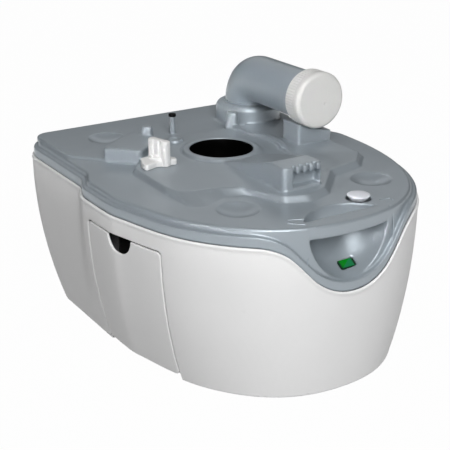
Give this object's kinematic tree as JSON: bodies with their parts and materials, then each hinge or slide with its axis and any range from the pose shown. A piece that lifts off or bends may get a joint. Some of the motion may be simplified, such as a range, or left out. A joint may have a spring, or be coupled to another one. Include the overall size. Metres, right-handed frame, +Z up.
{
  "type": "waste tank of a portable chemical toilet",
  "caption": "Portable toilet waste tank: white tapered casing, grey deck with carrying bar, valve knob, vent button, level window, paper store and a swivelling pour-out spout with a screw cap.",
  "frame": {"origin": "middle of the footprint of the rim, on the floor", "axes": "+Z up, -Y towards the front with the carrying bar, +X towards the spout side"},
  "size_m": [0.3766, 0.4655, 0.2951],
  "materials": {
    "casing_white": "satin moulded",
    "deck_grey": "satin moulded",
    "spout_grey": "satin moulded",
    "cap_white": "satin, slightly translucent",
    "knob_white": "satin moulded",
    "window_green": "clear gloss",
    "black_plastic": "matt",
    "tub_plastic": "matt blow-moulded",
    "float_plastic": "matt",
    "flag_green": "matt",
    "seal_rubber": "matt",
    "steel": "plain"
  },
  "bodies": {
    "tank": {"outer_casing": "casing_white", "tank_tub": "tub_plastic", "tank_deck": "deck_grey", "paper_compartment": "tub_plastic", "door_pin_front": "steel", "door_pin_rear": "steel", "valve_lip_seal": "seal_rubber", "spindle_seal": "seal_rubber", "valve_carrier": "black_plastic", "valve_screw_1": "steel", "valve_screw_2": "steel", "valve_screw_3": "steel", "valve_screw_4": "steel", "vent_housing": "black_plastic", "vent_spring": "steel", "level_window": "window_green", "float_pin": "steel", "float_bracket": "float_plastic", "post_tip": "black_plastic"},
    "door": {"paper_door": "casing_white"},
    "valve": {"valve_knob": "knob_white", "valve_spindle": "black_plastic", "valve_blade": "black_plastic"},
    "spout": {"spout_elbow": "spout_grey", "spout_retainer": "black_plastic", "spout_seal": "spout_grey"},
    "cap_slide": {"cap_liner": "seal_rubber"},
    "cap": {"spout_cap": "cap_white"},
    "vent": {"vent_button": "knob_white", "vent_stem": "black_plastic", "vent_disc": "seal_rubber"},
    "float": {"float_arm": "float_plastic", "float_ball": "float_plastic", "indicator_flag": "flag_green"}
  },
  "joints": [
    {"name": "door_hinge", "type": "hinge", "parent": "tank", "child": "door", "pos_m": [-0.1484, -0.0466, 0.017], "axis": [0.153, -0.9882, 0], "range_deg": [0, 65]},
    {"name": "valve_turn", "type": "hinge", "parent": "tank", "child": "valve", "pos_m": [-0.092, 0.0204, 0.2], "axis": [0, 0, 1], "range_deg": [0, 75]},
    {"name": "spout_swing", "type": "hinge", "parent": "tank", "child": "spout", "pos_m": [0.1093, 0.1385, 0.2], "axis": [0, 0, 1], "range_deg": [0, 180]},
    {"name": "cap_travel", "type": "slide", "parent": "spout", "child": "cap_slide", "axis": [0, -1, 0], "range_m": [0, 0.012]},
    {"name": "cap_turn", "type": "hinge", "parent": "cap_slide", "child": "cap", "pos_m": [0.1093, -0.0198, 0.2606], "axis": [0, -1, 0], "range_deg": [0, 720]},
    {"name": "vent_press", "type": "slide", "parent": "tank", "child": "vent", "axis": [0, 0, -1], "range_m": [0, 0.0045], "stiffness_N_per_m": 300, "deforming": ["vent_spring"]},
    {"name": "float_swing", "type": "hinge", "parent": "tank", "child": "float", "pos_m": [0.008, -0.19182, 0.11935], "axis": [1, 0, 0], "range_deg": [0, 40]}
  ],
  "couplings": [
    {"joint": "cap_travel", "follows": "cap_turn", "m_per_rad": 0.00095492}
  ]
}
